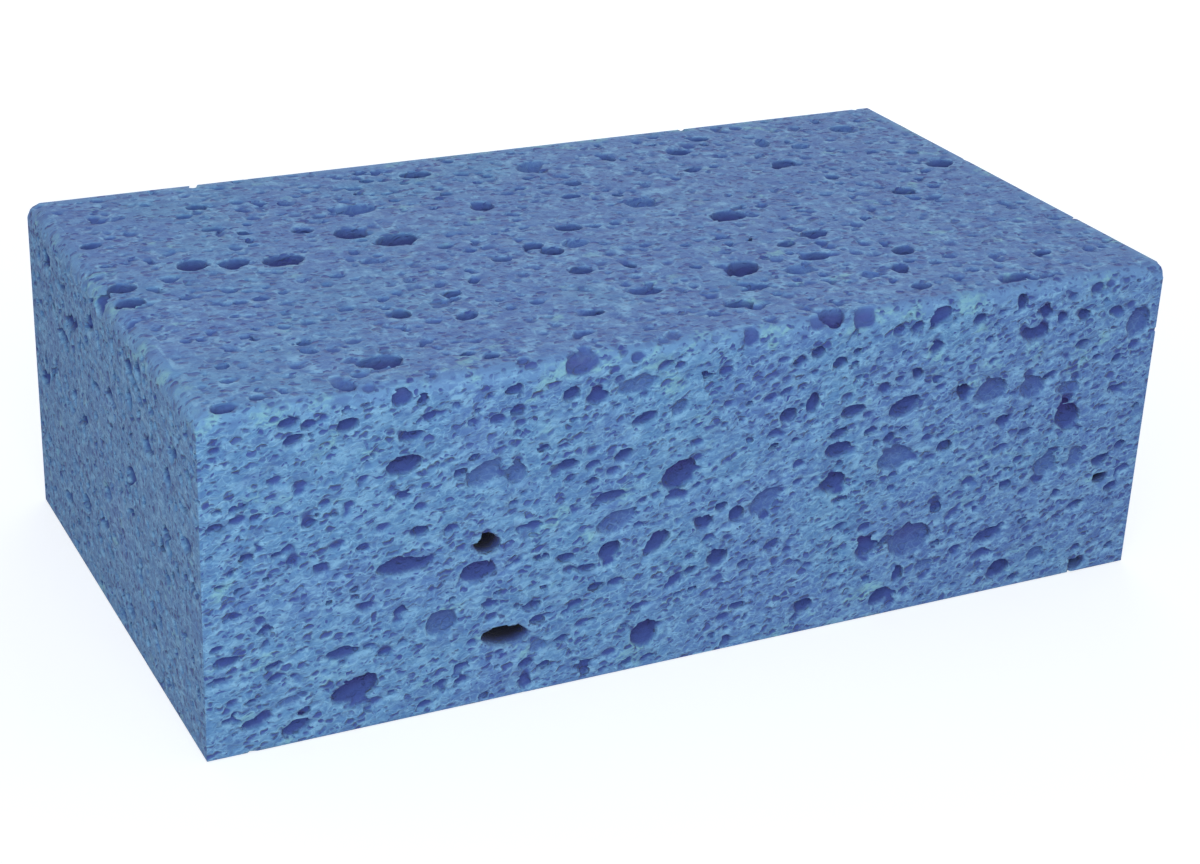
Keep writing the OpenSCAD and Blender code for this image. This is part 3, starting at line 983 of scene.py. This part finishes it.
class SPONGE_OT_foam_block(bpy.types.Operator):
    """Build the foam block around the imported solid"""

    bl_idname = "sponge.foam_block"
    bl_label = "Foam Block"

    def execute(self, context):
        shape = context.scene.sponge_shape
        piece = merged_copy(SOLID, "foam_block")
        modifier = piece.modifiers.new("Foam", "NODES")
        modifier.node_group = foam_tree()
        listed = listed_pores(shape.small_pore_depth, shape.tilt)
        groups = grouped_pores(solid_pores(piece) + listed, shape.lean)
        values = {
            **groups,
            "Grid Step": shape.grid_step,
            "Large Bubble Spacing": shape.large_cell,
            "Small Bubble Spacing": shape.small_cell,
            "Bubble Stretch": shape.stretch,
            "Bubble Tilt": shape.tilt,
            "Ragged Rims": shape.ragged,
            "Seed": float(shape.seed),
            "Foam": foam_material(context.scene.sponge_colours),
        }
        set_inputs(modifier, values)
        make_plain(piece)
        if not piece.data.polygons:
            raise RuntimeError("the foam block came out empty")
        triangles = sum(len(p.vertices) - 2 for p in piece.data.polygons)
        if triangles > TRIANGLE_LIMIT:
            fewer = piece.modifiers.new("Fewer Faces", "DECIMATE")
            fewer.ratio = TRIANGLE_LIMIT / triangles
        depth = piece.modifiers.new("Depth", "NODES")
        depth.node_group = depth_tree()
        set_inputs(depth, values)
        make_plain(piece)
        for points in groups.values():
            bpy.data.objects.remove(points)
        piece.data.shade_smooth()
        piece.data.set_sharp_from_angle(angle=CRISP_ANGLE)
        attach(piece, "root")
        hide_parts(SOLID)
        return {"FINISHED"}


def only_seen(tree):
    """1 where a ray shows the background to the camera, and 0 where it lights the block."""
    rays = tree.add("ShaderNodeLightPath").outputs
    in_gloss_or_glass = tree.math("MAXIMUM", rays["Is Glossy Ray"], rays["Is Transmission Ray"])
    return tree.math("MAXIMUM", rays["Is Camera Ray"], in_gloss_or_glass)


def floor_material(colour):
    """A pale matte floor that shows white in the picture and keeps the block's shadow."""
    material = bpy.data.materials.new("Pale Floor")
    material.use_nodes = True
    tree = Nodes(material.node_tree)
    shader = material.node_tree.nodes["Principled BSDF"]
    shader.inputs["Base Color"].default_value = (*colour, 1)
    shader.inputs["Roughness"].default_value = FLOOR_ROUGHNESS
    shader.inputs["Emission Color"].default_value = (1, 1, 1, 1)
    glow = tree.math("MULTIPLY", only_seen(tree), FLOOR_GLOW)
    tree.feed(shader.inputs["Emission Strength"], glow)
    return material


class SPONGE_OT_stage(bpy.types.Operator):
    """Build the floor, the lights and the camera"""

    bl_idname = "sponge.stage"
    bl_label = "Studio"

    def execute(self, context):
        studio = context.scene.sponge_studio
        scene = context.scene
        self.floor(scene, studio)
        self.lights(scene, studio)
        self.camera(scene, studio)
        scene.view_settings.view_transform = "Standard"
        return {"FINISHED"}

    def floor(self, scene, studio):
        mesh = bpy.data.meshes.new("floor")
        signs = ((-1, -1), (1, -1), (1, 1), (-1, 1))
        corners = [(x * FLOOR_REACH, y * FLOOR_REACH, 0) for x, y in signs]
        mesh.from_pydata(corners, [], [(0, 1, 2, 3)])
        mesh.materials.append(floor_material(studio.floor))
        floor = bpy.data.objects.new("floor", mesh)
        scene.collection.objects.link(floor)

    def lights(self, scene, studio):
        world = bpy.data.worlds.new("Soft Sky")
        world.use_nodes = True
        tree = Nodes(world.node_tree)
        sky = world.node_tree.nodes["Background"]
        seen = only_seen(tree)
        tree.feed(sky.inputs["Color"], mix_colour(tree, seen, (*studio.sky_colour, 1), (1, 1, 1, 1)))
        tree.feed(sky.inputs["Strength"], tree.ramp(seen, 0.0, 1.0, studio.sky, 1.0))
        scene.world = world
        self.lamp(scene, "key", studio.key, KEY_PLACE)
        self.lamp(scene, "fill", studio.fill, FILL_PLACE)

    def lamp(self, scene, name, power, place):
        """A large round lamp that faces the block and stays out of the picture."""
        data = bpy.data.lights.new(name, "AREA")
        data.energy = power
        data.shape = "DISK"
        data.size = LAMP_SIZE
        data.color = LAMP_COLOUR
        lamp = bpy.data.objects.new(name, data)
        lamp.location = place
        lamp.rotation_euler = (lamp.location * -1).to_track_quat("-Z", "Y").to_euler()
        lamp.visible_camera = False
        scene.collection.objects.link(lamp)

    def camera(self, scene, studio):
        data = bpy.data.cameras.new("camera")
        data.sensor_width = SENSOR_WIDTH
        data.lens = studio.lens
        data.clip_start = NEAREST_SEEN
        camera = bpy.data.objects.new("camera", data)
        camera.location = studio.eye
        camera.rotation_euler = studio.aim
        scene.collection.objects.link(camera)
        scene.camera = camera


class SPONGE_PT_panel(bpy.types.Panel):
    """The sponge's pieces, sizes and colours"""

    bl_label = "Cleaning Sponge"
    bl_idname = "SPONGE_PT_panel"
    bl_space_type = "VIEW_3D"
    bl_region_type = "UI"
    bl_category = "Sponge"

    def draw(self, context):
        layout = self.layout
        scene = context.scene
        for group in (scene.sponge_shape, scene.sponge_colours, scene.sponge_studio):
            box = layout.box()
            for name in group.bl_rna.properties.keys():
                if name not in ("name", "rna_type"):
                    box.prop(group, name)
        for step in STEPS:
            layout.operator(step.bl_idname)


STEPS = (SPONGE_OT_foam_block, SPONGE_OT_stage)
CLASSES = (SpongeShape, SpongeColours, SpongeStudio, *STEPS, SPONGE_PT_panel)


def register():
    for each in CLASSES:
        bpy.utils.register_class(each)
    bpy.types.Scene.sponge_shape = PointerProperty(type=SpongeShape)
    bpy.types.Scene.sponge_colours = PointerProperty(type=SpongeColours)
    bpy.types.Scene.sponge_studio = PointerProperty(type=SpongeStudio)


def unregister():
    del bpy.types.Scene.sponge_studio
    del bpy.types.Scene.sponge_colours
    del bpy.types.Scene.sponge_shape
    for each in reversed(CLASSES):
        bpy.utils.unregister_class(each)


def main():
    register()
    bpy.ops.sponge.foam_block()
    bpy.ops.sponge.stage()


if __name__ == "__main__":
    main()
